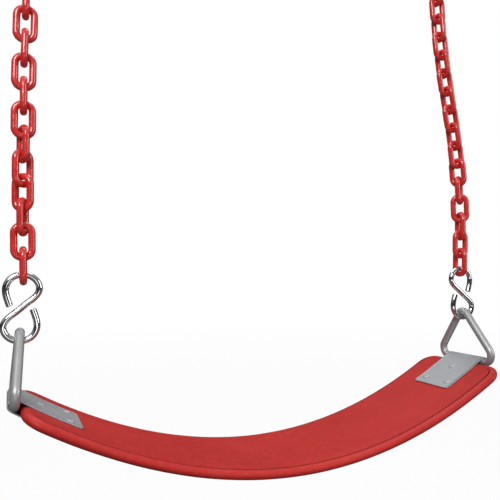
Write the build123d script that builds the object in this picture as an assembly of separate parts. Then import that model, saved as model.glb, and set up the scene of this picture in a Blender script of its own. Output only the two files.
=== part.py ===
from build123d import *
import math
import os

# A belt swing: a flexible moulded seat, hung by two coated chains.
# Millimetres. +X runs along the seat, -Y is its front edge and +Z is up. The origin lies on the
# hanging line, midway between the two points where the snap hooks rest on their hangers.

# --- driving dimensions -------------------------------------------------------------------
# seat
SPAN = 564.0             # between the axes of the two triangle rings' base bars
SAG = 88.7               # the belt's middle below those axes
BELT_WIDTH = 140.0
BELT_THICK = 10.0
BELT_SETBACK = 7.0       # from a base bar's axis to the end of the belt
BELT_CORNER = 22.0
BELT_EDGE = 3.5          # rounding of the belt's top and bottom edges

# folded end plates and their rivets
PLATE_WIDTH = 63.0
PLATE_THICK = 1.5
PLATE_REACH = 68.5       # from the bar's axis to the plate's inner edge
PLATE_AIR = 0.15         # between the plate and the belt
RIVET_SHANK = 3.0
RIVET_HEAD = 4.4
RIVET_HEAD_RISE = 1.1
RIVET_AIR = 0.1
RIVETS = [(25.7, 0.0), (56.2, -20.0), (56.2, 20.0)]   # (distance from the bar, place across)

# triangle rings
RING_ROD = 4.75
RING_PEAK = 70.0         # where the legs' centre lines would meet, above the base bar
RING_CORNER = 55.0       # where leg and base centre lines would meet, from the middle
RING_BEND = 10.8
RING_APEX_BEND = 8.4

# S-hooks
S_WIRE = 3.25
S_LENGTH = 71.7
S_HALF_WIDTH = 15.6

# coated chain
LINKS = 16
LINK_WIRE = 3.6
LINK_INSIDE = 24.65
LINK_INSIDE_WIDTH = 9.6
LINK_CROWN_FLAT = 1.6    # straight part of each end bar
RISE = 24.2              # height from one link contact to the next
SLACK = 0.2              # half the play left at each contact

# how each link is turned about the chain: 0 shows its loop to the front, 90 to the side
LINK_TURNS = [90, 0, 72, 144, 216, 288, 0, 90, 0, 90, 0, 90, 0, 90, 0, 90]

# how far each link leans towards the middle of the swing, from the lowest link up
LEFT_LEANS = [-0.7, -0.5, -0.2, 0, 0.3, 0.9, 0.5, 0.2, 1.0, 1.9, 1.6, 0.7, 0.5, 0.5, 0.5, 0.5]
RIGHT_LEANS = [-2.5, -2.5, -1.2, 0.8, 2.8, 4.8, 6.6, 8.4, 9.8, 10, 9.4, 8, 6.2, 4.8, 3.6, 3.2]
RING_LEAN = 4.7
S_LEAN = 3.5             # how far each S-hook leans towards the middle

# snap hooks
HOOK_WIRE = 3.15
HOOK_HEIGHT = 80.0
HOOK_TOP_BEND = 8.4
HOOK_BASE_BEND = 17.3
GATE_HINGE_UP = 58.0     # from the hook's lowest point
GATE_TIP_UP = 31.0
GATE_TUBE = 3.0
GATE_BORE = 2.0
PIN = 1.2
PIN_AIR = 0.05
LATCH_PIN = 0.9
LATCH_AIR = 0.15
LATCH_BACK = 1.0         # from the gate's tip to its latch pin
EAR_GAP = 1.5            # half the slot between each pair of ears on the gate
TONGUE = 1.3             # half the thickness of the tongues that they straddle
TIP_SLOT = 3.8           # depth of the latch slot, from the gate's tip
TIP_WALL = 1.2           # left between that slot and the spring's bore
SPRING_WIRE = 0.35
SPRING_PITCH = 2.2
SPRING_RADIUS = 1.35

# --- places that follow ---------------------------------------------------------------------
HALF = SPAN / 2
LEG_TILT = math.atan2(RING_CORNER, RING_PEAK)
RING_HEIGHT = RING_PEAK - RING_APEX_BEND * (1 / math.sin(LEG_TILT) - 1)
# contact of S-hook and ring, above the bars
S_FOOT = (RING_HEIGHT - RING_ROD) * math.cos(math.radians(RING_LEAN)) - SLACK
S_REACH = S_LENGTH - 4 * S_WIRE - 2 * SLACK      # between an S-hook's two contacts
S_HEAD = S_FOOT + S_REACH * math.cos(math.radians(S_LEAN))
CHAIN_TOP = S_HEAD + LINKS * RISE
HOOK_LOW = CHAIN_TOP - SLACK - 2 * HOOK_WIRE     # the snap hooks' lowest points
HANG = HOOK_LOW + HOOK_HEIGHT - 2 * HOOK_WIRE    # where they rest on their hangers


def side_path(side, leans):
    """Contact points (x, z) up one side, from the base bar to the top of the chain."""
    ring_top = side * (HALF - S_FOOT * math.tan(math.radians(RING_LEAN)))
    hook_top = ring_top - side * S_REACH * math.sin(math.radians(S_LEAN))
    points = [(side * HALF, 0.0), (ring_top, S_FOOT), (hook_top, S_HEAD)]
    for lean in leans:
        x, z = points[-1]
        points.append((x - side * RISE * math.tan(math.radians(lean)), z + RISE))
    return points


LEFT = side_path(-1, LEFT_LEANS)
RIGHT = side_path(1, RIGHT_LEANS)
MIDDLE = (LEFT[-1][0] + RIGHT[-1][0]) / 2
TO_ORIGIN = Pos(-MIDDLE, 0, -HANG)


# --- the belt's line --------------------------------------------------------------------------
def belt_line(x, offset=0.0):
    """A point on the belt's hanging curve, moved out along its normal."""
    u = x / HALF
    slope = 2 * SAG * u / HALF
    along = math.hypot(1, slope)
    return (x - offset * slope / along, -SAG * (1 - u * u) + offset / along)


def belt_slope(x):
    return math.degrees(math.atan2(2 * SAG * x / HALF**2, 1))


def along_from_bar(distance):
    """The x, on the left, of the point this far along the belt's curve from the bar."""
    x, step = -HALF, 0.25
    while distance > 0:
        distance -= step / math.cos(math.radians(belt_slope(x)))
        x += step
    return x


def offset_spline(x_from, x_to, offset, count):
    xs = [x_from + (x_to - x_from) * i / (count - 1) for i in range(count)]
    return Spline([Vector(*belt_line(x, offset)) for x in xs])


def upright(sketch_face, half_width):
    """Extrude a face drawn with x and z as its coordinates to both sides of the XZ plane."""
    return extrude(Plane.XZ * sketch_face, amount=half_width, both=True)


def across(x, y, radius, low, high):
    """A cylinder through the belt, square to it, from one offset to another."""
    foot = belt_line(x, low)
    place = Pos(foot[0], y, foot[1]) * Rot(0, -belt_slope(x), 0)
    return place * extrude(Circle(radius), amount=high - low)


def rivet_places(side):
    return [(-side * along_from_bar(d), y) for d, y in RIVETS]


# --- seat --------------------------------------------------------------------------------------
def belt_seat():
    """A flat strip with rounded long edges and round corners, bent to the hanging curve."""
    half, end = BELT_THICK / 2, along_from_bar(BELT_SETBACK)
    path = Plane.XZ * offset_spline(end, -end, 0, 15)
    section = RectangleRounded(BELT_WIDTH, BELT_THICK, BELT_EDGE)
    start = Plane(origin=path @ 0, x_dir=(0, 1, 0), z_dir=path % 0)
    belt = sweep(start * section, path=path)
    for side in (-1, 1):
        belt -= [corner_waste(side, front) for front in (-1, 1)]
        belt -= [across(x, y, RIVET_SHANK + RIVET_AIR, -half - 1, half + 1) for x, y in rivet_places(side)]
    return belt


def corner_waste(side, front):
    """What is cut from one corner of the strip to leave it round."""
    x, z = belt_line(side * -along_from_bar(BELT_SETBACK))
    size = BELT_CORNER + 5
    waste = Pos(side * size / 2, front * size / 2, 0) * Box(size, size, 4 * BELT_THICK)
    waste -= Cylinder(BELT_CORNER, 5 * BELT_THICK)
    inward = Pos(-side * BELT_CORNER, front * (BELT_WIDTH / 2 - BELT_CORNER), 0)
    return Pos(x, 0, z) * Rot(0, -belt_slope(x), 0) * inward * waste


def end_plate(side):
    """One strip, folded round the ring's base bar, with a leaf above the belt and one below."""
    inner = BELT_THICK / 2 + PLATE_AIR
    outer = inner + PLATE_THICK
    bar, tip = -HALF, along_from_bar(PLATE_REACH)

    def round_bar(offset):
        turn = math.radians(belt_slope(bar))
        out = Vector(bar - offset * math.cos(turn), -offset * math.sin(turn))
        return ThreePointArc(Vector(*belt_line(bar, offset)), out, Vector(*belt_line(bar, -offset)))

    edges = offset_spline(tip, bar, outer, 7) + round_bar(outer) + offset_spline(bar, tip, -outer, 7)
    edges += Line(Vector(*belt_line(tip, -outer)), Vector(*belt_line(tip, -inner)))
    edges += offset_spline(tip, bar, -inner, 7) + round_bar(inner) + offset_spline(bar, tip, inner, 7)
    edges += Line(Vector(*belt_line(tip, inner)), Vector(*belt_line(tip, outer)))
    plate = upright(make_face(edges), PLATE_WIDTH / 2)
    for x, y in rivet_places(-1):
        plate -= across(x, y, RIVET_SHANK + RIVET_AIR, -outer - 1, outer + 1)
    return plate if side < 0 else plate.mirror(Plane.YZ)


def rivets(side):
    """Each rivet's shank fills the holes; a shallow head lies on the leaf above and below."""
    face = BELT_THICK / 2 + PLATE_AIR + PLATE_THICK + RIVET_AIR
    found = []
    for x, y in rivet_places(side):
        rivet = across(x, y, RIVET_SHANK, -face, face)
        for low in (face, -face - RIVET_HEAD_RISE):
            rivet += across(x, y, RIVET_HEAD, low, low + RIVET_HEAD_RISE)
        rims = rivet.edges().filter_by(GeomType.CIRCLE)
        rims = [e for e in rims if e.radius > RIVET_SHANK + 0.5]
        rims = sorted(rims, key=lambda e: (e.center() - rivet.center()).length)[-2:]
        found.append(fillet(rims, RIVET_HEAD_RISE * 0.8))
    return Compound(children=found)


# --- wire forms --------------------------------------------------------------------------------
def wire_along(path, radius):
    start = Plane(origin=path @ 0, z_dir=path % 0)
    return sweep(start * Circle(radius), path=path)


def triangle_ring(points):
    """A closed triangle of round bar that stands across the seat."""
    outline = make_face(Polyline((-RING_CORNER, 0), (0, RING_PEAK), (RING_CORNER, 0), close=True))
    outline = fillet(outline.vertices().sort_by(Axis.Y)[:2], RING_BEND)
    outline = fillet(outline.vertices().sort_by(Axis.Y)[-1], RING_APEX_BEND)
    path = Plane.YZ * outline.wire()
    ring = wire_along(path, RING_ROD)
    (x0, z0), (x1, z1) = points[0], points[1]
    lean = math.degrees(math.atan2(x1 - x0, z1 - z0))
    return Pos(x0, 0, z0) * Rot(0, lean, 0) * ring


def s_hook(points, side):
    """One bent wire. Its open ends stop short of the straight stretch between the loops."""
    crown = S_LENGTH / 2 - S_WIRE
    loop = [(5.6, 5.2), (11.4, 10.4), (S_HALF_WIDTH, 18.6), (11.2, 28.4), (0, crown), (-11.2, 28.4)]
    loop += [(-S_HALF_WIDTH, 18.4), (-14.0, 9.6), (-10.6, 1.0)]
    upper = [Vector(side * x, z) for x, z in loop]
    lower = [Vector(-p.X, -p.Y) for p in reversed(upper)]
    path = Plane.XZ * Spline(lower + [Vector(0, 0)] + upper)
    hook = wire_along(path, S_WIRE)
    hook = chamfer(hook.faces().filter_by(GeomType.PLANE).edges(), S_WIRE * 0.2)
    (x0, z0), (x1, z1) = points[1], points[2]
    lean = math.degrees(math.atan2(x1 - x0, z1 - z0))
    return Pos((x0 + x1) / 2, 0, (z0 + z1) / 2) * Rot(0, lean, 0) * hook


def chain_link():
    """A coated link about its own centre, its loop open towards the front."""
    half_rise = LINK_INSIDE / 2 + LINK_WIRE
    half_width = LINK_INSIDE_WIDTH / 2 + LINK_WIRE
    outline = Rectangle(2 * half_width, 2 * half_rise)
    outline = fillet(outline.vertices(), half_width - LINK_CROWN_FLAT / 2)
    return wire_along(Plane.XZ * outline.wire(), LINK_WIRE)


def placed_link(link, points, number):
    (x0, z0), (x1, z1) = points[number + 2], points[number + 3]
    lean = math.degrees(math.atan2(x1 - x0, z1 - z0))
    place = Pos((x0 + x1) / 2, 0, (z0 + z1) / 2) * Rot(0, lean, 0)
    return place * Rot(0, 0, LINK_TURNS[number]) * link


# --- snap hooks ---------------------------------------------------------------------------------
# Drawn about the middle of the hook's lowest point, gate towards +X.
def hook_sides():
    """The centre line's two bend centres, and where the right side leaves each of them."""
    low = HOOK_WIRE + HOOK_BASE_BEND
    high = HOOK_HEIGHT - HOOK_WIRE - HOOK_TOP_BEND
    tilt = math.asin((HOOK_BASE_BEND - HOOK_TOP_BEND) / (high - low))
    right = Vector(math.cos(tilt), math.sin(tilt))
    return Vector(0, low), Vector(0, high), right


def gate_point(up):
    """A point on the gate side's centre line at a height above the hook's lowest point."""
    low, high, right = hook_sides()
    a, b = low + right * HOOK_BASE_BEND, high + right * HOOK_TOP_BEND
    return a + (b - a) * ((up - a.Y) / (b.Y - a.Y))


def gate_place():
    """At the gate's hinge, z running down the gate towards its tip."""
    hinge, tip = gate_point(GATE_HINGE_UP), gate_point(GATE_TIP_UP)
    run = Vector(tip.X - hinge.X, 0, tip.Y - hinge.Y)
    return Plane(origin=(hinge.X, 0, hinge.Y), x_dir=(0, 1, 0), z_dir=run), run.length


def hook_frame():
    low, high, right = hook_sides()
    left = Vector(-right.X, right.Y)
    down = Vector(0, -1)
    start, nose = gate_point(GATE_HINGE_UP + 5.0), gate_point(GATE_TIP_UP - 1.2)
    top_right, top_left = high + right * HOOK_TOP_BEND, high + left * HOOK_TOP_BEND
    low_right, low_left = low + right * HOOK_BASE_BEND, low + left * HOOK_BASE_BEND
    over = ThreePointArc(top_right, high + Vector(0, HOOK_TOP_BEND), top_left)
    under = ThreePointArc(low_left, low + down * HOOK_BASE_BEND, low_right)
    path = Line(start, top_right) + over + Line(top_left, low_left) + under + Line(low_right, nose)
    frame = wire_along(Plane.XZ * Wire(path.edges()), HOOK_WIRE)
    place, length = gate_place()
    tongue = Pos(0, 0, -3.2) * Box(2 * TONGUE, 2 * GATE_BORE, 9.0)
    tongue += Rot(0, 90, 0) * Cylinder(GATE_BORE, 2 * TONGUE)
    tongue -= Rot(0, 90, 0) * Cylinder(PIN + PIN_AIR, 3 * TONGUE)
    latch = Pos(0, 0, length - 0.3) * Box(2 * TONGUE, 3.6, 5.0)
    notch = LATCH_PIN + LATCH_AIR
    latch -= Pos(0, 0, length - LATCH_BACK) * Rot(0, 90, 0) * Cylinder(notch, 3 * TONGUE)
    latch -= Pos(0, -notch, length - LATCH_BACK) * Box(3 * TONGUE, 2 * notch, 2 * notch)
    frame -= place * Rot(0, 90, 0) * Cylinder(PIN + PIN_AIR, 4 * HOOK_WIRE)
    return frame + place * tongue + place * latch


def hook_gate():
    """A tube with two ears round the tongue at its hinge and two round the one at its tip."""
    place, length = gate_place()
    gate = Pos(0, 0, length / 2 - 0.9) * Cylinder(GATE_TUBE, length + 2.2)
    gate -= Pos(0, 0, length / 2 - TIP_SLOT - TIP_WALL) * Cylinder(GATE_BORE, length)
    gate -= Pos(0, 0, -0.6) * Box(2 * EAR_GAP, 4 * GATE_TUBE, 6.0)
    slot = 2 * GATE_TUBE + TIP_SLOT
    gate -= Pos(0, 0, length - TIP_SLOT + slot / 2) * Box(2 * EAR_GAP, 4 * GATE_TUBE, slot)
    gate -= Rot(0, 90, 0) * Cylinder(PIN + PIN_AIR, 4 * GATE_TUBE)
    gate -= Pos(0, 0, length - LATCH_BACK) * Rot(0, 90, 0) * Cylinder(LATCH_PIN + PIN_AIR, 4 * GATE_TUBE)
    return place * gate


def latch_pin():
    place, length = gate_place()
    return place * Pos(0, 0, length - LATCH_BACK) * Rot(0, 90, 0) * Cylinder(LATCH_PIN, 2 * GATE_TUBE - 0.4)


def gate_pin():
    place, _ = gate_place()
    pin = Rot(0, 90, 0) * Cylinder(PIN, 2 * GATE_TUBE + 0.6)
    return place * chamfer(pin.edges().filter_by(GeomType.CIRCLE), 0.25)


def gate_plunger():
    """Pushed by the spring against the frame's tongue."""
    place, _ = gate_place()
    stem = Pos(0, 0, 4.3) * Cylinder(GATE_BORE - 0.2, 4.0)
    return place * fillet(stem.edges().filter_by(GeomType.CIRCLE).sort_by(Axis.Z)[0], 1.2)


def gate_spring():
    place, length = gate_place()
    start = 6.8
    run = length - TIP_SLOT - TIP_WALL - 0.5 - start
    path = Helix(pitch=SPRING_PITCH, height=run, radius=SPRING_RADIUS)
    coil = sweep(Plane(origin=path @ 0, z_dir=path % 0) * Circle(SPRING_WIRE), path=path)
    return place * Pos(0, 0, start) * coil


# --- the whole swing -----------------------------------------------------------------------------
def save(name, shape):
    moved = TO_ORIGIN * shape
    moved.label = name
    export_step(moved, f"parts/{name}.step")


def main():
    os.makedirs("parts", exist_ok=True)
    save("belt_seat", belt_seat())
    link = chain_link()
    hook_pieces = {
        "snap_hook_frame": hook_frame(),
        "snap_hook_gate": hook_gate(),
        "gate_hinge_pin": gate_pin(),
        "gate_latch_pin": latch_pin(),
        "gate_plunger": gate_plunger(),
        "gate_spring": gate_spring(),
    }
    for name, side, points in (("left", -1, LEFT), ("right", 1, RIGHT)):
        save(f"{name}_end_plate", end_plate(side))
        save(f"{name}_rivets", rivets(side))
        save(f"{name}_triangle_ring", triangle_ring(points))
        save(f"{name}_s_hook", s_hook(points, -side))
        for number in range(LINKS):
            save(f"{name}_chain_link_{number + 1:02d}", placed_link(link, points, number))
        for piece, shape in hook_pieces.items():
            save(f"{name}_{piece}", Pos(points[-1][0], 0, HOOK_LOW) * shape)


main()
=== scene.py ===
"""The looks of a belt swing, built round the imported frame. Shapes are drawn in millimetres from the middle
of the seat, at the height of the rings' base bars, and moved to the row's frame in metres."""

import math

import bpy
import numpy as np
from mathutils import Matrix, Vector


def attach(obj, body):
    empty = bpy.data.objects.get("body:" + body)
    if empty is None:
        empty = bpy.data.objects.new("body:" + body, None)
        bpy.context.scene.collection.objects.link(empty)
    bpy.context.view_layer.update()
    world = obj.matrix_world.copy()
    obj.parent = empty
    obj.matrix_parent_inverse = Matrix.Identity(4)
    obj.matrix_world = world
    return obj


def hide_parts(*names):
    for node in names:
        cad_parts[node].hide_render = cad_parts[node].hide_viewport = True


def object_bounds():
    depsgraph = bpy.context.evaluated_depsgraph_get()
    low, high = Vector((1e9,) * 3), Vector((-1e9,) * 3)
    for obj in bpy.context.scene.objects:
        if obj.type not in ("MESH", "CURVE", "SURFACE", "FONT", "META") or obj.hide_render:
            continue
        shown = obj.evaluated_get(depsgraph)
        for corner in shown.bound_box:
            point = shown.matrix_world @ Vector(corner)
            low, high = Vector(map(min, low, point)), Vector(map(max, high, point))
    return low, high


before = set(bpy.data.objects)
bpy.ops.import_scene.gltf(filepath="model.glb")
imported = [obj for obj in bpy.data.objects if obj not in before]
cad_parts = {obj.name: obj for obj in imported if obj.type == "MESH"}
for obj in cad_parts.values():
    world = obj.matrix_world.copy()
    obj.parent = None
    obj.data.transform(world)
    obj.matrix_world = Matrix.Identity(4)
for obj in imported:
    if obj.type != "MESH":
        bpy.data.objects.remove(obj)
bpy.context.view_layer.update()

MM = 0.001

# --- sizes, as in the CAD ----------------------------------------------------------------------
SPAN, SAG = 564.0, 88.7
HALF = SPAN / 2
BELT_WIDTH, BELT_THICK, BELT_SETBACK, BELT_CORNER, BELT_EDGE = 140.0, 10.0, 7.0, 22.0, 3.5
PLATE_WIDTH, PLATE_THICK, PLATE_REACH, PLATE_AIR = 63.0, 1.5, 68.5, 0.15
RIVET_HEAD, RIVET_AIR = 4.4, 0.1
HEAD_SEAT, HEAD_TALL = 0.4, 1.2      # how far a rivet head starts below its face, and its height from there
RIVETS = [(25.7, 0.0), (56.2, -20.0), (56.2, 20.0)]
RING_ROD, RING_PEAK, RING_CORNER, RING_BEND, RING_APEX_BEND, RING_LEAN = 4.75, 70.0, 55.0, 10.8, 8.4, 4.7
S_WIRE, S_LENGTH, S_HALF_WIDTH, S_LEAN = 3.25, 71.7, 15.6, 3.5
LINKS, LINK_WIRE, LINK_INSIDE, LINK_INSIDE_WIDTH, LINK_CROWN_FLAT = 16, 3.6, 24.65, 9.6, 1.6
RISE, SLACK = 24.2, 0.2
LINK_TURNS = [90, 0, 72, 144, 216, 288, 0, 90, 0, 90, 0, 90, 0, 90, 0, 90]
LEANS = {-1: [-0.7, -0.5, -0.2, 0, 0.3, 0.9, 0.5, 0.2, 1.0, 1.9, 1.6, 0.7, 0.5, 0.5, 0.5, 0.5],
         1: [-2.5, -2.5, -1.2, 0.8, 2.8, 4.8, 6.6, 8.4, 9.8, 10, 9.4, 8, 6.2, 4.8, 3.6, 3.2]}
HOOK_WIRE, HOOK_HEIGHT = 3.15, 80.0

LEG_TILT = math.atan2(RING_CORNER, RING_PEAK)
RING_HEIGHT = RING_PEAK - RING_APEX_BEND * (1 / math.sin(LEG_TILT) - 1)
S_FOOT = (RING_HEIGHT - RING_ROD) * math.cos(math.radians(RING_LEAN)) - SLACK
S_REACH = S_LENGTH - 4 * S_WIRE - 2 * SLACK
S_HEAD = S_FOOT + S_REACH * math.cos(math.radians(S_LEAN))
CHAIN_TOP = S_HEAD + LINKS * RISE
HOOK_LOW = CHAIN_TOP - SLACK - 2 * HOOK_WIRE
HANG = HOOK_LOW + HOOK_HEIGHT - 2 * HOOK_WIRE


def side_path(side):
    ring_top = side * (HALF - S_FOOT * math.tan(math.radians(RING_LEAN)))
    hook_top = ring_top - side * S_REACH * math.sin(math.radians(S_LEAN))
    points = [(side * HALF, 0.0), (ring_top, S_FOOT), (hook_top, S_HEAD)]
    for lean in LEANS[side]:
        x, z = points[-1]
        points.append((x - side * RISE * math.tan(math.radians(lean)), z + RISE))
    return points


PATHS = {-1: side_path(-1), 1: side_path(1)}
MIDDLE = (PATHS[-1][-1][0] + PATHS[1][-1][0]) / 2
ORIGIN = np.array([MIDDLE, 0.0, HANG])
SIDES = ((-1, "left"), (1, "right"))


# --- camera ------------------------------------------------------------------------------------
LENS, SENSOR = 42.04, 36.0
CAMERA_PLACE = np.array([-286.4, -618.5, 124.9])
YAW, PITCH, ROLL = 0.3913, -0.0314, -0.0115     # a turn to the right, down and anticlockwise, in radians
camera_data = bpy.data.cameras.new("camera")
camera_data.lens, camera_data.sensor_width = LENS, SENSOR
camera = bpy.data.objects.new("camera", camera_data)
bpy.context.scene.collection.objects.link(camera)
above, ahead = Vector((0, 0, 1)), Vector((math.sin(YAW), math.cos(YAW), 0))
beside = Vector((math.cos(YAW), -math.sin(YAW), 0))
looking = ahead * math.cos(PITCH) - above * math.sin(PITCH)
upward = above * math.cos(PITCH) + ahead * math.sin(PITCH)
facing = Matrix((beside * math.cos(ROLL) + upward * math.sin(ROLL),
                 upward * math.cos(ROLL) - beside * math.sin(ROLL), -looking)).transposed()
camera.location = ((CAMERA_PLACE - ORIGIN) * MM).tolist()
camera.rotation_euler = facing.to_euler()
bpy.context.scene.camera = camera


# --- mesh helpers --------------------------------------------------------------------------------
def finished(name, points, faces, uvs, body, material, nodes):
    """A smooth mesh from points in millimetres. uvs holds a (u, v) in millimetres for each point."""
    mesh = bpy.data.meshes.new(name)
    mesh.from_pydata(((np.asarray(points) - ORIGIN) * MM).tolist(), [], [list(map(int, f)) for f in faces])
    mesh.validate()
    layer = mesh.uv_layers.new(name="along")
    corners = np.zeros(len(mesh.loops), np.int64)
    mesh.loops.foreach_get("vertex_index", corners)
    layer.data.foreach_set("uv", (np.asarray(uvs, float) * MM)[corners].astype(np.float32).ravel())
    mesh.polygons.foreach_set("use_smooth", [True] * len(mesh.polygons))
    mesh.materials.append(material)
    piece = bpy.data.objects.new(name, mesh)
    bpy.context.scene.collection.objects.link(piece)
    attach(piece, body)
    if nodes:
        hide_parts(*nodes)
    return piece


def unit(vectors):
    vectors = np.asarray(vectors, float)
    return vectors / np.linalg.norm(vectors, axis=-1, keepdims=True)


def lengths(points):
    """Distance along a line of points, from its first."""
    steps = np.linalg.norm(np.diff(points, axis=0), axis=1)
    return np.concatenate([[0.0], np.cumsum(steps)])


def evenly(points, step, closed=False):
    """The same line with points a near-equal step apart."""
    points = np.asarray(points, float)
    if closed:
        points = np.vstack([points, points[:1]])
    run = lengths(points)
    count = max(int(round(run[-1] / step)), 3)
    at = np.linspace(0, run[-1], count + 1)
    if closed:
        at = at[:-1]
    return np.stack([np.interp(at, run, points[:, k]) for k in range(points.shape[1])], 1)


def bent(corners, bends):
    """A closed outline of straight runs with a round bend at each corner."""
    corners = np.asarray(corners, float)
    points = []
    for i, (corner, bend) in enumerate(zip(corners, bends)):
        back, on = unit(corners[i - 1] - corner), unit(corners[(i + 1) % len(corners)] - corner)
        opening = math.acos(float(np.clip(back @ on, -1, 1)))
        reach = bend / math.tan(opening / 2)
        centre = corner + unit(back + on) * bend / math.sin(opening / 2)
        start, end = corner + back * reach - centre, corner + on * reach - centre
        turn = math.pi - opening
        for t in np.linspace(0, 1, 25):
            mix = (math.sin((1 - t) * turn) * start + math.sin(t * turn) * end) / math.sin(turn)
            points.append(centre + mix)
    return np.array(points)


def smooth_line(points, count):
    """A curve with even curvature through the points."""
    points = np.asarray(points, float)
    knots = lengths(points)
    n = len(points)
    gaps = np.diff(knots)
    system, right = np.eye(n), np.zeros_like(points)
    for i in range(1, n - 1):
        system[i, i - 1: i + 2] = gaps[i - 1], 2 * (gaps[i - 1] + gaps[i]), gaps[i]
        right[i] = 6 * ((points[i + 1] - points[i]) / gaps[i] - (points[i] - points[i - 1]) / gaps[i - 1])
    bend = np.linalg.solve(system, right)
    found = []
    for at in np.linspace(0, knots[-1], count):
        i = min(int(np.searchsorted(knots, at, side="right")) - 1, n - 2)
        a, b, gap = knots[i + 1] - at, at - knots[i], gaps[i]
        cubic = (bend[i] * a**3 + bend[i + 1] * b**3) / (6 * gap)
        found.append(
            cubic + (points[i] / gap - bend[i] * gap / 6) * a + (points[i + 1] / gap - bend[i + 1] * gap / 6) * b
        )
    return np.array(found)


def placed(flat, turn, lean, x, z):
    """Points drawn flat as (x, z), turned about z, leant about y and moved into place.

    Also their plane's normal."""
    turn, lean = math.radians(turn), math.radians(lean)
    about_z = np.array([[math.cos(turn), -math.sin(turn), 0], [math.sin(turn), math.cos(turn), 0], [0, 0, 1]])
    about_y = np.array([[math.cos(lean), 0, math.sin(lean)], [0, 1, 0], [-math.sin(lean), 0, math.cos(lean)]])
    spin = about_y @ about_z
    points = np.column_stack([flat[:, 0], np.zeros(len(flat)), flat[:, 1]])
    return points @ spin.T + np.array([x, 0.0, z]), spin @ np.array([0.0, 1.0, 0.0])


def bar(path, across, radius, closed, sides=24):
    """Points, faces and uvs of a round bar along a flat path. radius is one number or one for each point."""
    path = np.asarray(path, float)
    if closed:
        tangent = unit(np.roll(path, -1, 0) - np.roll(path, 1, 0))
    else:
        tangent = unit(np.gradient(path, axis=0))
    outward = np.cross(tangent, across)
    angle = 2 * math.pi * np.arange(sides) / sides
    radius = np.broadcast_to(np.asarray(radius, float), (len(path),))
    circle = np.cos(angle)[None, :, None] * outward[:, None, :] + np.sin(angle)[None, :, None] * across
    points = (path[:, None, :] + radius[:, None, None] * circle).reshape(-1, 3)
    run = lengths(path)
    uvs = [(run[i], angle[j] * radius.mean()) for i in range(len(path)) for j in range(sides)]
    faces = []
    for i in range(len(path) if closed else len(path) - 1):
        a, b = i * sides, (i + 1) % len(path) * sides
        for j in range(sides):
            k = (j + 1) % sides
            faces.append((a + j, b + j, b + k, a + k))
    if not closed:
        points = np.vstack([points, path[:1], path[-1:]])
        uvs += [(0.0, 0.0), (run[-1], 0.0)]
        first, last, end = len(points) - 2, len(points) - 1, (len(path) - 1) * sides
        faces += [(first, j, (j + 1) % sides) for j in range(sides)]
        faces += [(last, end + (j + 1) % sides, end + j) for j in range(sides)]
    return points, faces, uvs


def with_tips(path, radius, rounding, steps=6):
    """The path's points and radii with both ends rounded off over the given length."""
    run = lengths(path)
    inner = np.linspace(rounding, run[-1] - rounding, len(path))
    quarter = np.linspace(0, math.pi / 2, steps)[:-1]
    tip = rounding * (1 - np.sin(quarter + math.pi / 2 / (steps - 1)))[::-1]
    at = np.concatenate([tip, inner, run[-1] - tip[::-1]])
    depth = np.minimum(at, run[-1] - at)
    shrink = np.sqrt(np.clip(1 - (1 - np.clip(depth / rounding, 0, 1)) ** 2, 0, 1))
    radii = radius - rounding * (1 - shrink)
    return np.stack([np.interp(at, run, path[:, k]) for k in range(3)], 1), radii


# --- a strip of some thickness that follows a line -------------------------------------------------
def belt_line(x, offset=0.0):
    x = np.asarray(x, float)
    slope = 2 * SAG * x / HALF**2
    along = np.hypot(1, slope)
    return np.stack([x - offset * slope / along, -SAG * (1 - (x / HALF) ** 2) + offset / along], -1)


def along_from_bar(distance):
    xs = np.linspace(-HALF, 0, 4000)
    return float(np.interp(distance, lengths(belt_line(xs)), xs))


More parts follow.
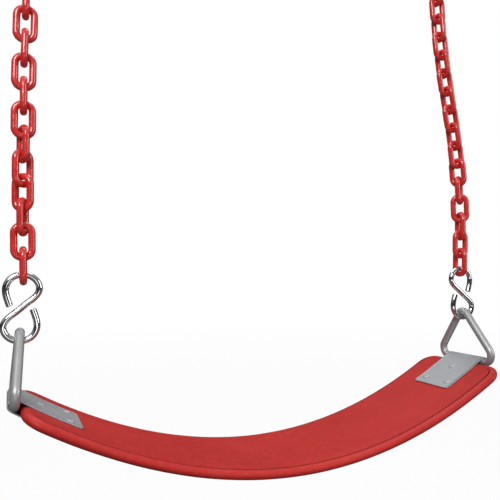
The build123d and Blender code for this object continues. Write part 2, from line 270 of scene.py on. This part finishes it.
def strip(line, width, thick, corner, rim, step, rows, wobble=None, rim_height=None, rim_steps=6):
    """A flat strip with round corners and rounded edges, bent to follow a line of (x, z) points.

    Each edge is rounded over rim inwards and rim_height up, or rim both ways where that isn't given.

    Points are made in the flat, as distance along, place across and height, and then carried to the line."""
    run = lengths(line)
    total, half = run[-1], width / 2
    quarter = np.linspace(0, math.pi / 2, 10)
    straight = np.linspace(corner, total - corner, max(int((total - 2 * corner) / step), 2))

    def edge_points(inset):
        """(along, across) up one long side, from the middle of one corner's end to the other's, moved inwards."""
        r = max(corner - inset, 0.01)
        low = [(corner - r * math.cos(q), half - corner + r * math.sin(q)) for q in quarter]
        high = [(total - s, y) for s, y in reversed(low)]
        return np.array(low[:-1] + [(s, half - inset) for s in straight] + high[1:])

    front = edge_points(0)
    n, m = len(front), rows
    share = np.linspace(1, -1, m + 1)

    def loop(inset):
        """The outline moved inwards: up one side, across, down the other and back."""
        side = edge_points(inset)
        tail = [(side[-1][0], side[-1][1] * t) for t in share[1:-1]]
        head = [(side[0][0], -side[0][1] * t) for t in share[1:-1]]
        return np.vstack([side, tail, side[::-1] * (1, -1), head])

    around = len(loop(0))
    rise = rim if rim_height is None else rim_height
    levels = [(rim * (1 - math.cos(a)), thick / 2 - rise + rise * math.sin(a))
              for a in np.linspace(0, math.pi / 2, rim_steps)]
    rings = [(d, -h) for d, h in reversed(levels)] + levels[0 if rise < thick / 2 else 1:]
    flat = [np.column_stack([loop(d), np.full(around, h)]) for d, h in rings]
    faces = []
    for k in range(len(rings) - 1):
        a, b = k * around, (k + 1) * around
        for j in range(around):
            i = (j + 1) % around
            faces.append((a + j, b + j, b + i, a + i))
    points = np.vstack(flat)
    for ring, height, flip in ((0, -thick / 2, True), (len(rings) - 1, thick / 2, False)):
        base = ring * around
        index = np.zeros((n, m + 1), np.int64)
        index[:, 0] = base + np.arange(n)
        index[:, m] = base + n + (m - 1) + np.arange(n)[::-1]
        index[-1, 1:m] = base + n + np.arange(m - 1)
        index[0, 1:m] = (base + around - (m - 1) + np.arange(m - 1))[::-1]
        inner = edge_points(rim)
        for i in range(1, n - 1):
            for j in range(1, m):
                index[i, j] = len(points) + (i - 1) * (m - 1) + j - 1
        body = [(inner[i][0], inner[i][1] * share[j], height) for i in range(1, n - 1) for j in range(1, m)]
        points = np.vstack([points, np.array(body)])
        for i in range(n - 1):
            for j in range(m):
                face = (index[i, j], index[i, j + 1], index[i + 1, j + 1], index[i + 1, j])
                faces.append(face if flip else face[::-1])
    if wobble is not None:
        points = wobble(points)
    tangent = unit(np.gradient(line, axis=0))
    x, z = (np.interp(points[:, 0], run, line[:, k]) for k in (0, 1))
    tx, tz = (np.interp(points[:, 0], run, tangent[:, k]) for k in (0, 1))
    placed_points = np.column_stack([x - tz * points[:, 2], points[:, 1], z + tx * points[:, 2]])
    return placed_points, faces, points[:, :2]


def turned(profile, foot, axis, sides=32):
    """A turned shape: profile is (radius, height) pairs, from the rim to the middle."""
    axis = unit(axis)
    across = unit(np.cross(axis, [0.0, 1.0, 0.0]))
    third = np.cross(axis, across)
    angle = 2 * math.pi * np.arange(sides) / sides
    points, faces = [], []
    for r, h in profile:
        points.append(foot + axis * h + r * (np.cos(angle)[:, None] * across + np.sin(angle)[:, None] * third))
    for k in range(len(profile) - 1):
        a, b = k * sides, (k + 1) * sides
        for j in range(sides):
            i = (j + 1) % sides
            faces.append((a + j, a + i, b + i, b + j))
    points = np.vstack(points + [[foot + axis * profile[-1][1]], [foot + axis * profile[0][1]]])
    top, under, last = len(points) - 2, len(points) - 1, (len(profile) - 1) * sides
    faces += [(last + j, last + (j + 1) % sides, top) for j in range(sides)]
    faces += [((j + 1) % sides, j, under) for j in range(sides)]
    return points, faces, points[:, :2]


def joined(parts):
    """Several (points, faces, uvs) as one."""
    points, faces, uvs, base = [], [], [], 0
    for p, f, u in parts:
        points.append(p)
        faces += [tuple(i + base for i in face) for face in f]
        uvs.append(np.asarray(u, float))
        base += len(p)
    return np.vstack(points), faces, np.vstack(uvs)


# --- materials -----------------------------------------------------------------------------------
def add(tree, kind, inputs=None, **settings):
    made = tree.nodes.new("ShaderNode" + kind)
    for key, value in settings.items():
        setattr(made, key, value)
    for key, value in (inputs or {}).items():
        if isinstance(value, bpy.types.NodeSocket):
            tree.links.new(value, made.inputs[key])
        else:
            made.inputs[key].default_value = value
    return made


def noise(tree, where, scale, detail=4.0, rough=0.55, stretch=None):
    if stretch:
        where = add(tree, "Mapping", {"Vector": where, "Scale": stretch}).outputs[0]
    inputs = {"Vector": where, "Scale": scale, "Detail": detail, "Roughness": rough}
    return add(tree, "TexNoise", inputs).outputs["Fac"]


def spread(tree, value, low, high, to_low, to_high):
    inputs = {"Value": value, "From Min": low, "From Max": high, "To Min": to_low, "To Max": to_high}
    return add(tree, "MapRange", inputs, clamp=True).outputs[0]


def blended(tree, factor, one, other, mode="MIX"):
    made = add(tree, "Mix", data_type="RGBA", blend_type=mode)
    for socket, value in ((made.inputs[0], factor), (made.inputs[6], one), (made.inputs[7], other)):
        if isinstance(value, bpy.types.NodeSocket):
            tree.links.new(value, socket)
        else:
            socket.default_value = value
    return made.outputs[2]


def bumps(tree, layers):
    """A normal from (height, distance in metres, strength) layers, coarse ones first."""
    normal = None
    for height, distance, strength in layers:
        inputs = {"Height": height, "Distance": distance, "Strength": strength}
        if normal:
            inputs["Normal"] = normal
        normal = add(tree, "Bump", inputs).outputs[0]
    return normal


def started(name):
    material = bpy.data.materials.new(name)
    material.use_nodes = True
    tree = material.node_tree
    tree.nodes.clear()
    shader = add(tree, "BsdfPrincipled")
    output = add(tree, "OutputMaterial")
    tree.links.new(shader.outputs[0], output.inputs[0])
    coords = add(tree, "TexCoord")
    return material, tree, shader, coords


def wire_in(tree, shader, **sockets):
    for key, value in sockets.items():
        socket = shader.inputs[key.replace("_", " ")]
        if isinstance(value, bpy.types.NodeSocket):
            tree.links.new(value, socket)
        else:
            socket.default_value = value


def belt_rubber():
    material, tree, shader, coords = started("belt_rubber")
    here, flat = coords.outputs["Object"], coords.outputs["UV"]
    clouds = noise(tree, here, 9, 3)
    mottle = noise(tree, here, 160, 5, 0.6)
    colour = blended(tree, spread(tree, clouds, 0.35, 0.7, 0, 1), (0.47, 0.015, 0.012, 1), (0.56, 0.023, 0.018, 1))
    colour = blended(tree, spread(tree, mottle, 0.45, 0.75, 0, 0.35), colour, (0.63, 0.05, 0.038, 1))
    streaks = noise(tree, flat, 55, 6, 0.7, (1, 9, 1))
    patch = noise(tree, here, 13, 2, 0.5)
    worn = add(tree, "Math", {0: spread(tree, streaks, 0.56, 0.74, 0, 1), 1: spread(tree, patch, 0.5, 0.68, 0, 1)},
               operation="MULTIPLY").outputs[0]
    colour = blended(tree, spread(tree, worn, 0, 1, 0, 0.55), colour, (0.72, 0.16, 0.13, 1))
    pebble = add(tree, "TexVoronoi", {"Vector": here, "Scale": 900.0}, feature="SMOOTH_F1").outputs["Distance"]
    fine = noise(tree, here, 2600, 3, 0.6)
    rough = spread(tree, mottle, 0.3, 0.75, 0.42, 0.58)
    normal = bumps(tree, [(noise(tree, here, 26, 2), 0.0016, 0.35), (pebble, 0.00012, 0.5), (fine, 0.00006, 0.5)])
    wire_in(tree, shader, Base_Color=colour, Roughness=rough, Normal=normal)
    wire_in(tree, shader, Specular_IOR_Level=0.34)
    return material


def coated_link():
    material, tree, shader, coords = started("coated_link")
    here = coords.outputs["Object"]
    tone = noise(tree, here, 70, 3)
    colour = blended(tree, spread(tree, tone, 0.35, 0.7, 0, 1), (0.72, 0.026, 0.022, 1), (0.82, 0.045, 0.04, 1))
    specks = noise(tree, here, 900, 4, 0.7)
    colour = blended(tree, spread(tree, specks, 0.66, 0.78, 0, 0.35), colour, (0.75, 0.09, 0.07, 1))
    rough = spread(tree, noise(tree, here, 240, 4, 0.6), 0.3, 0.75, 0.16, 0.34)
    normal = bumps(tree, [(noise(tree, here, 130, 2), 0.0012, 0.35), (noise(tree, here, 700, 3), 0.0002, 0.35)])
    wire_in(tree, shader, Base_Color=colour, Roughness=rough, Normal=normal)
    wire_in(tree, shader, Specular_IOR_Level=0.6, Coat_Weight=0.8, Coat_Roughness=0.06)
    return material


def grey_steel(name, base, other, low_rough, high_rough, grain, relief=1.0):
    """Satin steel. grain is how the fine lines are drawn out, and relief scales the marks and bumps."""
    material, tree, shader, coords = started(name)
    here, flat = coords.outputs["Object"], coords.outputs["UV"]
    cloud = noise(tree, here, 60, 4, 0.6)
    colour = blended(tree, spread(tree, cloud, 0.32, 0.7, 0, 1), base, other)
    pits = add(tree, "TexVoronoi", {"Vector": here, "Scale": 1500.0}, feature="SMOOTH_F1").outputs["Distance"]
    lines = noise(tree, flat, 900, 5, 0.65, grain)
    marks = spread(tree, noise(tree, here, 420, 5, 0.75), 0.62, 0.72, 0, 0.4 * relief)
    colour = blended(tree, marks, colour, tuple(0.55 * c for c in base[:3]) + (1,))
    rough = spread(tree, lines, 0.3, 0.7, low_rough, high_rough)
    normal = bumps(tree, [(noise(tree, here, 120, 3), 0.0006 * relief, 0.25), (lines, 0.00003, 0.5 * relief),
                          (pits, 0.00003, 0.25 * relief)])
    wire_in(tree, shader, Base_Color=colour, Roughness=rough, Normal=normal, Metallic=0.5)
    return material


def bright_zinc(name, base, low_rough, high_rough, relief=1.0):
    """Bright plating. relief scales its dents and drawn lines, and 0 leaves them out."""
    material, tree, shader, coords = started(name)
    here = coords.outputs["Object"]
    cloud = noise(tree, here, 90, 4, 0.6)
    colour = blended(tree, spread(tree, cloud, 0.3, 0.7, 0, 1), base, tuple(0.86 * c for c in base[:3]) + (1,))
    rough = spread(tree, noise(tree, here, 330, 4, 0.65), 0.3, 0.75, low_rough, high_rough)
    if relief:
        dents = noise(tree, here, 150, 2)
        lines = noise(tree, coords.outputs["UV"], 1400, 4, 0.6, (0.05, 1, 1))
        wire_in(tree, shader, Normal=bumps(tree, [(dents, 0.0007 * relief, 0.22), (lines, 0.00002, 0.35 * relief)]))
    wire_in(tree, shader, Base_Color=colour, Roughness=rough, Metallic=1.0)
    return material


RUBBER = belt_rubber()
COAT = coated_link()
PLATE = grey_steel("stamped_steel", (0.45, 0.47, 0.49, 1), (0.50, 0.52, 0.54, 1), 0.42, 0.58,
                   (0.04, 1, 1))
RING = grey_steel("galvanised_bar", (0.47, 0.48, 0.49, 1), (0.52, 0.53, 0.54, 1), 0.36, 0.46, (0.05, 1, 1), 0.3)
RIVET = grey_steel("rivet_steel", (0.45, 0.46, 0.48, 1), (0.51, 0.52, 0.54, 1), 0.44, 0.58, (1, 1, 1), 0.5)
CHROME = bright_zinc("bright_zinc", (0.84, 0.85, 0.87, 1), 0.05, 0.08, 0)
ZINC = bright_zinc("polished_zinc", (0.72, 0.73, 0.75, 1), 0.12, 0.28)
SPRING = bright_zinc("spring_steel", (0.42, 0.43, 0.45, 1), 0.2, 0.35)

# --- seat ------------------------------------------------------------------------------------------
belt_end = along_from_bar(BELT_SETBACK)
belt_points = belt_line(np.linspace(belt_end, -belt_end, 900))


def settled(points):
    """The moulding's slight unevenness, which never swells it."""
    s, y, h = points.T
    wave = 0.10 * np.sin(s / 23 + y / 31) + 0.08 * np.sin(s / 9.7 - y / 17 + 1.3)
    return np.column_stack([s, y, h * (1 - (0.12 + wave * 0.5) / 10)])


points, faces, uvs = strip(belt_points, BELT_WIDTH, BELT_THICK, BELT_CORNER, 2 * BELT_EDGE, 3.2, 44, settled,
                           BELT_THICK / 2, 12)
finished("belt", points, faces, uvs, "seat", RUBBER, ["belt_seat"])

for side, name in SIDES:
    middle = BELT_THICK / 2 + PLATE_AIR + PLATE_THICK / 2
    leaf_x = np.linspace(along_from_bar(PLATE_REACH), -HALF, 200)
    tilt = math.atan2(-2 * SAG / HALF, 1)
    fold = np.linspace(0, math.pi, 41)[1:-1]
    bend = np.column_stack([-HALF - middle * np.sin(tilt + fold), middle * np.cos(tilt + fold)])
    line = np.vstack([belt_line(leaf_x, middle), bend, belt_line(leaf_x[::-1], -middle)])
    points, faces, uvs = strip(line, PLATE_WIDTH, PLATE_THICK, 3.0, 0.45, 1.6, 26)
    if side > 0:
        points, faces = points * (-1, 1, 1), [f[::-1] for f in faces]
    finished(f"{name}_folded_plate", points, faces, uvs, "seat", PLATE, [f"{name}_end_plate"])

    heads = []
    for distance, y in RIVETS:
        x = -side * along_from_bar(distance)
        slope = math.atan2(2 * SAG * x / HALF**2, 1)
        up = np.array([-math.sin(slope), 0.0, math.cos(slope)])
        face = BELT_THICK / 2 + PLATE_AIR + PLATE_THICK + RIVET_AIR
        for way in (1, -1):
            foot_x, foot_z = belt_line(x, way * (face - HEAD_SEAT))
            r, h = RIVET_HEAD, HEAD_TALL
            dome = [(r, 0.0), (r, 0.45), (r - 0.15, 0.68), (r - 0.6, 0.92), (r - 1.4, h - 0.1), (r - 2.1, h)]
            dome += [(1.75, h), (1.55, h - 0.08), (1.42, h - 0.35), (1.2, h - 0.5), (0.5, h - 0.55)]
            heads.append(turned(dome, np.array([foot_x, y, foot_z]), way * up))
    points, faces, uvs = joined(heads)
    finished(f"{name}_rivet_heads", points, faces, uvs, "seat", RIVET, [f"{name}_rivets"])

    outline = bent([(-RING_CORNER, 0), (RING_CORNER, 0), (0, RING_PEAK)], [RING_BEND, RING_BEND, RING_APEX_BEND])
    outline = evenly(outline, 1.5, closed=True)
    (x0, z0), (x1, z1) = PATHS[side][0], PATHS[side][1]
    lean = math.degrees(math.atan2(x1 - x0, z1 - z0))
    path, across = placed(outline, 90, lean, x0, z0)
    points, faces, uvs = bar(path, across, RING_ROD, True, 32)
    finished(f"{name}_ring", points, faces, uvs, "seat", RING, [f"{name}_triangle_ring"])

# --- S-hooks and chains --------------------------------------------------------------------------
crown = S_LENGTH / 2 - S_WIRE
loop = [(5.6, 5.2), (11.4, 10.4), (S_HALF_WIDTH, 18.6), (11.2, 28.4), (0, crown), (-11.2, 28.4)]
loop += [(-S_HALF_WIDTH, 18.4), (-14.0, 9.6), (-10.6, 1.0)]
hook_line = [(-x, -z) for x, z in reversed(loop)] + [(0.0, 0.0)] + loop

half_rise = LINK_INSIDE / 2 + LINK_WIRE
half_width = LINK_INSIDE_WIDTH / 2 + LINK_WIRE
link_corners = [(x * half_width, z * half_rise) for x, z in ((-1, -1), (1, -1), (1, 1), (-1, 1))]
link_line = evenly(bent(link_corners, [half_width - LINK_CROWN_FLAT / 2] * 4), 1.0, closed=True)
rng = np.random.default_rng(7)

for side, name in SIDES:
    contacts = PATHS[side]
    line = smooth_line(np.array(hook_line) * (-side, 1), 260)
    (x0, z0), (x1, z1) = contacts[1], contacts[2]
    lean = math.degrees(math.atan2(x1 - x0, z1 - z0))
    path, across = placed(line, 0, lean, (x0 + x1) / 2, (z0 + z1) / 2)
    path, radii = with_tips(path, S_WIRE, 0.9)
    points, faces, uvs = bar(path, across, radii, False, 28)
    finished(f"{name}_s_wire", points, faces, uvs, f"{name}_s_hook_body", CHROME,
             [f"{name}_s_hook"])
    for number in range(LINKS):
        (x0, z0), (x1, z1) = contacts[number + 2], contacts[number + 3]
        lean = math.degrees(math.atan2(x1 - x0, z1 - z0))
        path, across = placed(link_line, LINK_TURNS[number], lean, (x0 + x1) / 2, (z0 + z1) / 2)
        run = np.arange(len(path)) / len(path) * 2 * math.pi
        phases = rng.uniform(0, 2 * math.pi, 3)
        coat = sum(0.022 * np.sin(k * run + p) for k, p in zip((2, 5, 9), phases))
        seam = 0.16 * np.exp(-(((run - math.pi * 0.5) / 0.14) ** 2))
        points, faces, uvs = bar(path, across, LINK_WIRE - 0.07 + coat + seam, True, 22)
        cad = f"{name}_chain_link_{number + 1:02d}"
        finished(f"{name}_link_{number + 1:02d}_coat", points, faces, uvs, f"{name}_link_{number + 1:02d}",
                 COAT, [cad])

# --- snap hooks: the CAD's own pieces --------------------------------------------------------------
for side, name in SIDES:
    looks = {"snap_hook_frame": ZINC, "snap_hook_gate": ZINC, "gate_hinge_pin": RIVET, "gate_latch_pin": RIVET,
             "gate_plunger": SPRING, "gate_spring": SPRING}
    for piece, material in looks.items():
        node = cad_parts[f"{name}_{piece}"]
        node.data.materials.clear()
        node.data.materials.append(material)

# --- floor, light and world -----------------------------------------------------------------------
FLOOR_DROP, FLOOR_REACH = 0.30, 30.0
low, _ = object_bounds()
floor_mesh = bpy.data.meshes.new("floor")
floor_z = low.z - FLOOR_DROP
corners = [(x * FLOOR_REACH, y * FLOOR_REACH, floor_z) for x, y in ((-1, -1), (1, -1), (1, 1), (-1, 1))]
floor_mesh.from_pydata(corners, [], [(0, 1, 2, 3)])
floor = bpy.data.objects.new("floor", floor_mesh)
bpy.context.scene.collection.objects.link(floor)
floor.visible_diffuse = floor.visible_glossy = False
pale = bpy.data.materials.new("pale_floor")
pale.use_nodes = True
tree = pale.node_tree
tree.nodes.clear()
matt = add(tree, "BsdfDiffuse", {"Color": (0.93, 0.93, 0.93, 1)})
glow = add(tree, "Emission", {"Color": (1, 1, 1, 1), "Strength": 1.0})
away = add(tree, "VectorMath", {0: add(tree, "TexCoord").outputs["Object"]}, operation="LENGTH").outputs["Value"]
faded = spread(tree, away, 1.0, 5.0, 0.93, 1.0)
mixed = add(tree, "MixShader", {0: faded, 1: matt.outputs[0], 2: glow.outputs[0]})
add(tree, "OutputMaterial", {"Surface": mixed.outputs[0]})
floor_mesh.materials.append(pale)

world = bpy.data.worlds.new("studio")
bpy.context.scene.world = world
world.use_nodes = True
tree = world.node_tree
tree.nodes.clear()
direction = add(tree, "TexCoord").outputs["Generated"]
height = add(tree, "SeparateXYZ", {0: direction}).outputs[2]
ramp = add(tree, "ValToRGB", {"Fac": spread(tree, height, -0.4, 1.0, 0, 1)})
elements = ramp.color_ramp.elements
elements[0].position, elements[0].color = 0.0, (0.22, 0.22, 0.22, 1)
elements[1].position, elements[1].color = 1.0, (0.9, 0.9, 0.92, 1)
for place, level in ((0.26, 0.10), (0.42, 0.04), (0.62, 0.5)):
    made = elements.new(place)
    made.color = (level, level, level, 1)
studio = add(tree, "Background", {"Color": ramp.outputs[0], "Strength": 0.55})
backdrop = add(tree, "Background", {"Color": (1, 1, 1, 1), "Strength": 1.0})
seen = add(tree, "LightPath").outputs["Is Camera Ray"]
both = add(tree, "MixShader", {0: seen, 1: studio.outputs[0], 2: backdrop.outputs[0]})
add(tree, "OutputWorld", {"Surface": both.outputs[0]})


def softbox(name, place, target, size, power):
    data = bpy.data.lights.new(name, "AREA")
    data.shape, data.size, data.size_y, data.energy = "RECTANGLE", size[0], size[1], power
    lamp = bpy.data.objects.new(name, data)
    bpy.context.scene.collection.objects.link(lamp)
    lamp.location = place
    lamp.rotation_euler = (Vector(target) - Vector(place)).to_track_quat("-Z", "Y").to_euler()


aim = Vector((0.02, 0, -0.45))
softbox("key", (-0.9, -1.3, 0.55), aim, (0.7, 0.7), 19)
softbox("fill", (1.4, -1.0, 0.0), aim, (0.6, 1.0), 8)
softbox("top", (0.0, 0.4, 1.0), aim, (1.2, 0.5), 10)
softbox("front_low", (-0.2, -1.5, -0.75), aim, (1.2, 0.3), 2)

bpy.context.scene.view_settings.view_transform = "Standard"
